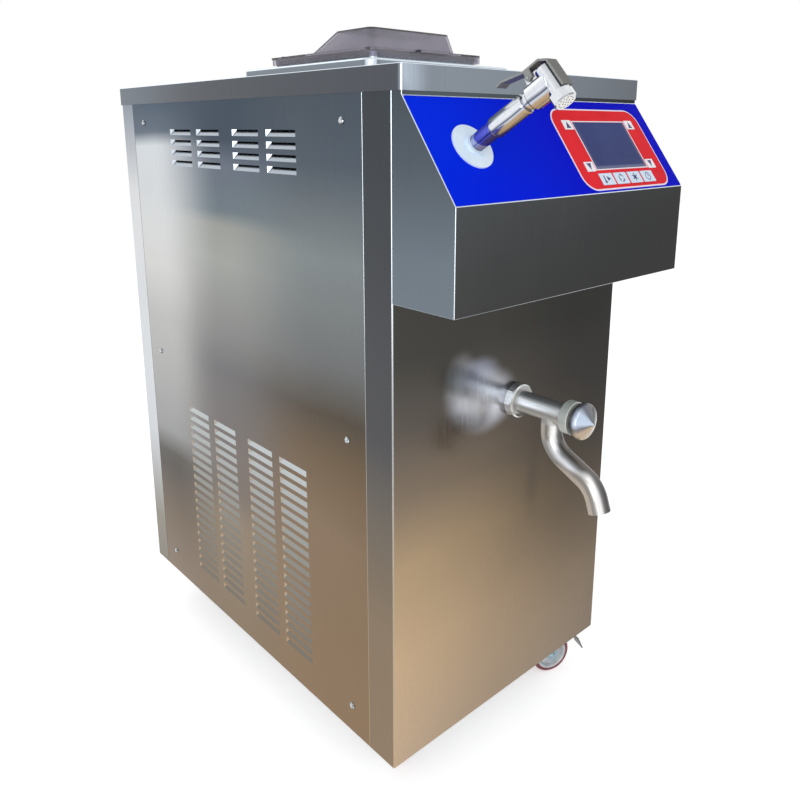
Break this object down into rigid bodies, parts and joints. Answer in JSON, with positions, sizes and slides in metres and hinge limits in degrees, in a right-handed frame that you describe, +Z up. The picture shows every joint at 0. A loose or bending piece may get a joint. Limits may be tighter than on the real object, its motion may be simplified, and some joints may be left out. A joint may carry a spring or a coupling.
{
  "type": "ice cream pasteurizer",
  "caption": "floor-standing steel pasteurizer with clear hinged lid, sloping control panel with hand spray, pull-knob draw-off tap, louvred sides and swivel casters",
  "frame": {"origin": "the middle of the footprint, on the floor", "axes": "+Z up, the front with its tap and control slope faces -Y, +X is to the right of someone who looks along +Y"},
  "size_m": [0.5163, 1.0214, 1.166],
  "materials": {
    "brushed_steel_sheet": "satin",
    "frame_steel": "satin",
    "polished_steel": "polished",
    "tap_steel": "satin",
    "screw_steel": "satin",
    "blue_film": "gloss",
    "red_membrane": "gloss",
    "screen": "gloss",
    "arrow_key": "gloss",
    "function_key": "gloss",
    "clear_lid": "clear",
    "seal_rubber": "matt",
    "motor_paint": "satin",
    "fin_aluminium": "satin",
    "fan_plastic": "matt",
    "dark_trigger": "satin",
    "spray_flange": "gloss",
    "zinc_steel": "satin",
    "red_tyre": "satin",
    "brake_plastic": "satin",
    "fitting_brass": "satin",
    "gland_plastic": "matt"
  },
  "bodies": {
    "cabinet": {"base_chassis": "frame_steel", "frame_posts": "frame_steel", "front_shell": "brushed_steel_sheet", "rear_shell": "brushed_steel_sheet", "left_side_panel": "brushed_steel_sheet", "right_side_panel": "brushed_steel_sheet", "panel_screws": "screw_steel", "top_cover": "brushed_steel_sheet", "control_hood": "brushed_steel_sheet", "control_overlay": "blue_film", "keypad_membrane": "red_membrane", "display_module": "screen", "tank_vessel": "brushed_steel_sheet", "tank_collar": "brushed_steel_sheet", "lid_gasket": "seal_rubber", "lid_hinge": "polished_steel", "cooling_jacket": "brushed_steel_sheet", "heater_ring": "frame_steel", "shaft_seal": "seal_rubber", "agitator_motor": "motor_paint", "compressor": "motor_paint", "condenser": "fin_aluminium", "fan_motor": "motor_paint", "tap_collar_nut": "tap_steel", "tap_body": "tap_steel", "tap_ring_nut": "tap_steel", "spray_holder": "spray_flange", "caster_plates": "zinc_steel", "water_inlet": "fitting_brass", "cable_gland": "gland_plastic"},
    "tap_valve": {"tap_plunger": "tap_steel", "tap_seals": "seal_rubber", "tap_knob": "polished_steel"},
    "lid": {"tank_lid": "clear_lid"},
    "spray": {"spray_handle": "polished_steel", "spray_head": "polished_steel", "spray_nozzle": "polished_steel", "trigger_pin": "screw_steel"},
    "trigger": {"spray_trigger": "dark_trigger"},
    "agitator": {"agitator_shaft": "polished_steel", "agitator_paddle": "polished_steel"},
    "fan": {"condenser_fan": "fan_plastic"},
    "arrow_key_up_left_body": {"arrow_key_up_left": "arrow_key"},
    "arrow_key_down_left_body": {"arrow_key_down_left": "arrow_key"},
    "arrow_key_up_right_body": {"arrow_key_up_right": "arrow_key"},
    "arrow_key_down_right_body": {"arrow_key_down_right": "arrow_key"},
    "function_key_heat_body": {"function_key_heat": "function_key"},
    "function_key_cycle_body": {"function_key_cycle": "function_key"},
    "function_key_cool_body": {"function_key_cool": "function_key"},
    "function_key_store_body": {"function_key_store": "function_key"},
    "swivel_front_left": {"caster_fork_front_left": "zinc_steel"},
    "wheel_front_left": {"caster_wheel_front_left": "red_tyre"},
    "swivel_front_right": {"caster_fork_front_right": "zinc_steel"},
    "wheel_front_right": {"caster_wheel_front_right": "red_tyre"},
    "swivel_rear_left": {"caster_fork_rear_left": "zinc_steel"},
    "wheel_rear_left": {"caster_wheel_rear_left": "red_tyre"},
    "swivel_rear_right": {"caster_fork_rear_right": "zinc_steel"},
    "wheel_rear_right": {"caster_wheel_rear_right": "red_tyre"},
    "pedal_front_left": {"brake_pedal_front_left": "brake_plastic"},
    "pedal_front_right": {"brake_pedal_front_right": "brake_plastic"}
  },
  "joints": [
    {"name": "arrow_key_up_left_press", "type": "slide", "parent": "cabinet", "child": "arrow_key_up_left_body", "axis": [0, 0.8085, -0.5886], "range_m": [0, 0.0005], "stiffness_N_per_m": 400},
    {"name": "arrow_key_down_left_press", "type": "slide", "parent": "cabinet", "child": "arrow_key_down_left_body", "axis": [0, 0.8085, -0.5886], "range_m": [0, 0.0005], "stiffness_N_per_m": 400},
    {"name": "arrow_key_up_right_press", "type": "slide", "parent": "cabinet", "child": "arrow_key_up_right_body", "axis": [0, 0.8085, -0.5886], "range_m": [0, 0.0005], "stiffness_N_per_m": 400},
    {"name": "arrow_key_down_right_press", "type": "slide", "parent": "cabinet", "child": "arrow_key_down_right_body", "axis": [0, 0.8085, -0.5886], "range_m": [0, 0.0005], "stiffness_N_per_m": 400},
    {"name": "function_key_heat_press", "type": "slide", "parent": "cabinet", "child": "function_key_heat_body", "axis": [0, 0.8085, -0.5886], "range_m": [0, 0.0005], "stiffness_N_per_m": 400},
    {"name": "function_key_cycle_press", "type": "slide", "parent": "cabinet", "child": "function_key_cycle_body", "axis": [0, 0.8085, -0.5886], "range_m": [0, 0.0005], "stiffness_N_per_m": 400},
    {"name": "function_key_cool_press", "type": "slide", "parent": "cabinet", "child": "function_key_cool_body", "axis": [0, 0.8085, -0.5886], "range_m": [0, 0.0005], "stiffness_N_per_m": 400},
    {"name": "function_key_store_press", "type": "slide", "parent": "cabinet", "child": "function_key_store_body", "axis": [0, 0.8085, -0.5886], "range_m": [0, 0.0005], "stiffness_N_per_m": 400},
    {"name": "lid_hinge_turn", "type": "hinge", "parent": "cabinet", "child": "lid", "pos_m": [0, 0.17666, 1.132], "axis": [-1, 0, 0], "range_deg": [0, 105]},
    {"name": "tap_slide", "type": "slide", "parent": "cabinet", "child": "tap_valve", "axis": [0, -1, 0], "range_m": [0, 0.05]},
    {"name": "spray_lift", "type": "slide", "parent": "cabinet", "child": "spray", "axis": [0, -0.8567, 0.5159], "range_m": [0, 0.02]},
    {"name": "trigger_squeeze", "type": "hinge", "parent": "spray", "child": "trigger", "pos_m": [-0.1756, -0.45519, 1.06897], "axis": [-1, 0, 0], "range_deg": [0, 10], "stiffness_Nm_per_rad": 0.8},
    {"name": "agitator_turn", "type": "hinge", "parent": "cabinet", "child": "agitator", "pos_m": [0, 0.02667, 0.586], "axis": [0, 0, 1], "continuous": true},
    {"name": "fan_turn", "type": "hinge", "parent": "cabinet", "child": "fan", "pos_m": [-0.167, 0.09567, 0.27], "axis": [1, 0, 0], "continuous": true},
    {"name": "swivel_turn_front_left", "type": "hinge", "parent": "cabinet", "child": "swivel_front_left", "pos_m": [-0.168, -0.23833, 0.105], "axis": [0, 0, 1], "continuous": true},
    {"name": "wheel_turn_front_left", "type": "hinge", "parent": "swivel_front_left", "child": "wheel_front_left", "pos_m": [-0.168, -0.21033, 0.0375], "axis": [-1, 0, 0], "continuous": true},
    {"name": "pedal_turn_front_left", "type": "hinge", "parent": "swivel_front_left", "child": "pedal_front_left", "pos_m": [-0.168, -0.21934, 0.0825], "axis": [-1, 0, 0], "range_deg": [0, 10]},
    {"name": "swivel_turn_front_right", "type": "hinge", "parent": "cabinet", "child": "swivel_front_right", "pos_m": [0.168, -0.23833, 0.105], "axis": [0, 0, 1], "continuous": true},
    {"name": "wheel_turn_front_right", "type": "hinge", "parent": "swivel_front_right", "child": "wheel_front_right", "pos_m": [0.19405, -0.2486, 0.0375], "axis": [0.3665, 0.9304, 0], "continuous": true},
    {"name": "pedal_turn_front_right", "type": "hinge", "parent": "swivel_front_right", "child": "pedal_front_right", "pos_m": [0.18568, -0.2453, 0.0825], "axis": [0.3665, 0.9304, 0], "range_deg": [0, 10]},
    {"name": "swivel_turn_rear_left", "type": "hinge", "parent": "cabinet", "child": "swivel_rear_left", "pos_m": [-0.168, 0.42267, 0.105], "axis": [0, 0, 1], "continuous": true},
    {"name": "wheel_turn_rear_left", "type": "hinge", "parent": "swivel_rear_left", "child": "wheel_rear_left", "pos_m": [-0.14655, 0.44066, 0.0375], "axis": [-0.6428, 0.766, 0], "continuous": true},
    {"name": "swivel_turn_rear_right", "type": "hinge", "parent": "cabinet", "child": "swivel_rear_right", "pos_m": [0.168, 0.42267, 0.105], "axis": [0, 0, 1], "continuous": true},
    {"name": "wheel_turn_rear_right", "type": "hinge", "parent": "swivel_rear_right", "child": "wheel_rear_right", "pos_m": [0.16314, 0.45024, 0.0375], "axis": [-0.9848, -0.1736, 0], "continuous": true}
  ]
}
